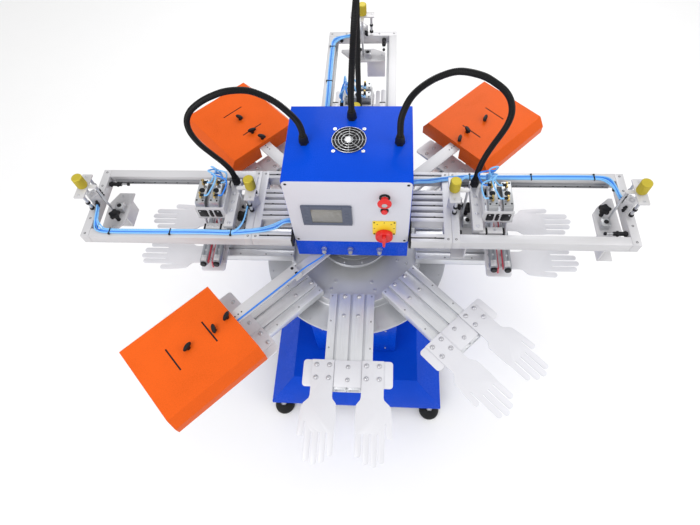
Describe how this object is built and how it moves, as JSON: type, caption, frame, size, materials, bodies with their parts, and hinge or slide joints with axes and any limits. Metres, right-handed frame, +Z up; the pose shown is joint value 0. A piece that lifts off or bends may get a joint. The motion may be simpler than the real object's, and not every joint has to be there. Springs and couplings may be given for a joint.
{
  "type": "screen printing carousel",
  "caption": "Rotary glove printing machine: hand-shaped pallets on an indexing turntable under print heads and flash dryers on a blue stand.",
  "frame": {"origin": "middle of the footprint's bounding box, on the floor; the turntable axis stands 69 mm in front of it", "axes": "+Z up, -Y to the operator side with the control panel, +X to the operator's right along the two side print heads"},
  "size_m": [2.1, 1.962, 1.6181],
  "materials": {
    "blue_paint": "glossy royal blue powder coat",
    "orange_paint": "glossy orange powder coat",
    "grey_panel": "satin light grey paint",
    "white_aluminium": "matt silver anodised extrusion",
    "brushed_profile": "brushed extrusion",
    "pallet_aluminium": "fine bead-blasted plate",
    "machined_aluminium": "machined",
    "squeegee_aluminium": "extruded squeegee holder",
    "disc_aluminium": "satin turned plate",
    "cast_steel": "grey painted casting",
    "bearing_steel": "ground steel",
    "chrome_wire": "bright wire",
    "bezel_plastic": "moulded bezel",
    "yellow_plastic": "moulded plate",
    "red_plastic": "moulded red",
    "black_rubber": "moulded rubber",
    "conduit_plastic": "corrugated nylon conduit",
    "knob_yellow": "knurled anodised knob",
    "black_plastic": "moulded black",
    "polyurethane": "translucent squeegee blade",
    "air_tube": "polyurethane air tube",
    "brass_fitting": "turned fitting",
    "bolt_steel": "button head bolts",
    "screen_glass": "display window"
  },
  "bodies": {
    "stand": {"base_housing": "blue_paint", "pedestal": "blue_paint", "index_drive": "cast_steel", "slewing_bearing": "bearing_steel", "centre_column": "cast_steel", "cabinet_shell": "blue_paint", "front_panel": "grey_panel", "touch_panel": "bezel_plastic", "switch_plate": "yellow_plastic", "fan_guard": "chrome_wire", "dryer_support_spider": "white_aluminium", "levelling_foot_front_left": "black_rubber", "levelling_foot_front_right": "black_rubber", "levelling_foot_rear_left": "black_rubber", "levelling_foot_rear_right": "black_rubber", "dryer_hood_rear_right": "orange_paint", "dryer_hood_rear_left": "orange_paint", "dryer_hood_front_left": "orange_paint", "head_frame_right": "white_aluminium", "head_frame_rear": "white_aluminium", "head_frame_left": "white_aluminium", "conduit_right": "conduit_plastic", "conduit_rear": "conduit_plastic", "conduit_left": "conduit_plastic"},
    "turntable": {"turntable_disc": "disc_aluminium", "station_arm_1": "brushed_profile", "station_arm_2": "brushed_profile", "station_arm_3": "brushed_profile", "station_arm_4": "brushed_profile", "station_arm_5": "brushed_profile", "station_arm_6": "brushed_profile", "station_arm_7": "brushed_profile", "station_arm_8": "brushed_profile", "glove_pallet_1": "pallet_aluminium", "glove_pallet_2": "pallet_aluminium", "glove_pallet_3": "pallet_aluminium", "glove_pallet_4": "pallet_aluminium", "glove_pallet_5": "pallet_aluminium", "glove_pallet_6": "pallet_aluminium", "glove_pallet_7": "pallet_aluminium", "glove_pallet_8": "pallet_aluminium"},
    "carriage_right": {"carriage_right": "machined_aluminium"},
    "squeegee_right": {"squeegee_right": "squeegee_aluminium"},
    "flood_bar_right": {"flood_bar_right": "machined_aluminium"},
    "screen_clamp_outer_right": {"screen_clamp_outer_right": "machined_aluminium"},
    "screen_clamp_inner_right": {"screen_clamp_inner_right": "machined_aluminium"},
    "carriage_rear": {"carriage_rear": "machined_aluminium"},
    "squeegee_rear": {"squeegee_rear": "squeegee_aluminium"},
    "flood_bar_rear": {"flood_bar_rear": "machined_aluminium"},
    "screen_clamp_outer_rear": {"screen_clamp_outer_rear": "machined_aluminium"},
    "screen_clamp_inner_rear": {"screen_clamp_inner_rear": "machined_aluminium"},
    "carriage_left": {"carriage_left": "machined_aluminium"},
    "squeegee_left": {"squeegee_left": "squeegee_aluminium"},
    "flood_bar_left": {"flood_bar_left": "machined_aluminium"},
    "screen_clamp_outer_left": {"screen_clamp_outer_left": "machined_aluminium"},
    "screen_clamp_inner_left": {"screen_clamp_inner_left": "machined_aluminium"},
    "emergency_stop": {"emergency_stop": "red_plastic"},
    "start_button": {"start_button": "red_plastic"},
    "main_switch": {"main_switch": "red_plastic"}
  },
  "joints": [
    {"name": "turntable_spin", "type": "hinge", "parent": "stand", "child": "turntable", "pos_m": [0, -0.069, 0.65], "axis": [0, 0, 1], "continuous": true},
    {"name": "carriage_stroke_right", "type": "slide", "parent": "stand", "child": "carriage_right", "axis": [1, 0, 0], "range_m": [0, 0.28]},
    {"name": "squeegee_lift_right", "type": "slide", "parent": "carriage_right", "child": "squeegee_right", "axis": [0.1564, 0, -0.9877], "range_m": [0, 0.02]},
    {"name": "flood_bar_lift_right", "type": "slide", "parent": "carriage_right", "child": "flood_bar_right", "axis": [0.1564, 0, -0.9877], "range_m": [0, 0.02]},
    {"name": "clamp_height_outer_right", "type": "slide", "parent": "stand", "child": "screen_clamp_outer_right", "axis": [0, 0, 1], "range_m": [-0.008, 0.008]},
    {"name": "clamp_height_inner_right", "type": "slide", "parent": "stand", "child": "screen_clamp_inner_right", "axis": [0, 0, 1], "range_m": [-0.008, 0.008]},
    {"name": "carriage_stroke_rear", "type": "slide", "parent": "stand", "child": "carriage_rear", "axis": [0, 1, 0], "range_m": [0, 0.28]},
    {"name": "squeegee_lift_rear", "type": "slide", "parent": "carriage_rear", "child": "squeegee_rear", "axis": [0, 0.1564, -0.9877], "range_m": [0, 0.02]},
    {"name": "flood_bar_lift_rear", "type": "slide", "parent": "carriage_rear", "child": "flood_bar_rear", "axis": [0, 0.1564, -0.9877], "range_m": [0, 0.02]},
    {"name": "clamp_height_outer_rear", "type": "slide", "parent": "stand", "child": "screen_clamp_outer_rear", "axis": [0, 0, 1], "range_m": [-0.008, 0.008]},
    {"name": "clamp_height_inner_rear", "type": "slide", "parent": "stand", "child": "screen_clamp_inner_rear", "axis": [0, 0, 1], "range_m": [-0.008, 0.008]},
    {"name": "carriage_stroke_left", "type": "slide", "parent": "stand", "child": "carriage_left", "axis": [-1, 0, 0], "range_m": [0, 0.28]},
    {"name": "squeegee_lift_left", "type": "slide", "parent": "carriage_left", "child": "squeegee_left", "axis": [-0.1564, 0, -0.9877], "range_m": [0, 0.02]},
    {"name": "flood_bar_lift_left", "type": "slide", "parent": "carriage_left", "child": "flood_bar_left", "axis": [-0.1564, 0, -0.9877], "range_m": [0, 0.02]},
    {"name": "clamp_height_outer_left", "type": "slide", "parent": "stand", "child": "screen_clamp_outer_left", "axis": [0, 0, 1], "range_m": [-0.008, 0.008]},
    {"name": "clamp_height_inner_left", "type": "slide", "parent": "stand", "child": "screen_clamp_inner_left", "axis": [0, 0, 1], "range_m": [-0.008, 0.008]},
    {"name": "emergency_stop_press", "type": "slide", "parent": "stand", "child": "emergency_stop", "axis": [0, 1, 0], "range_m": [0, 0.005], "stiffness_N_per_m": 400},
    {"name": "start_button_press", "type": "slide", "parent": "stand", "child": "start_button", "axis": [0, 1, 0], "range_m": [0, 0.003], "stiffness_N_per_m": 200},
    {"name": "main_switch_turn", "type": "hinge", "parent": "stand", "child": "main_switch", "pos_m": [0.124, -0.219, 1.006], "axis": [0, 1, 0], "range_deg": [0, 90]}
  ]
}
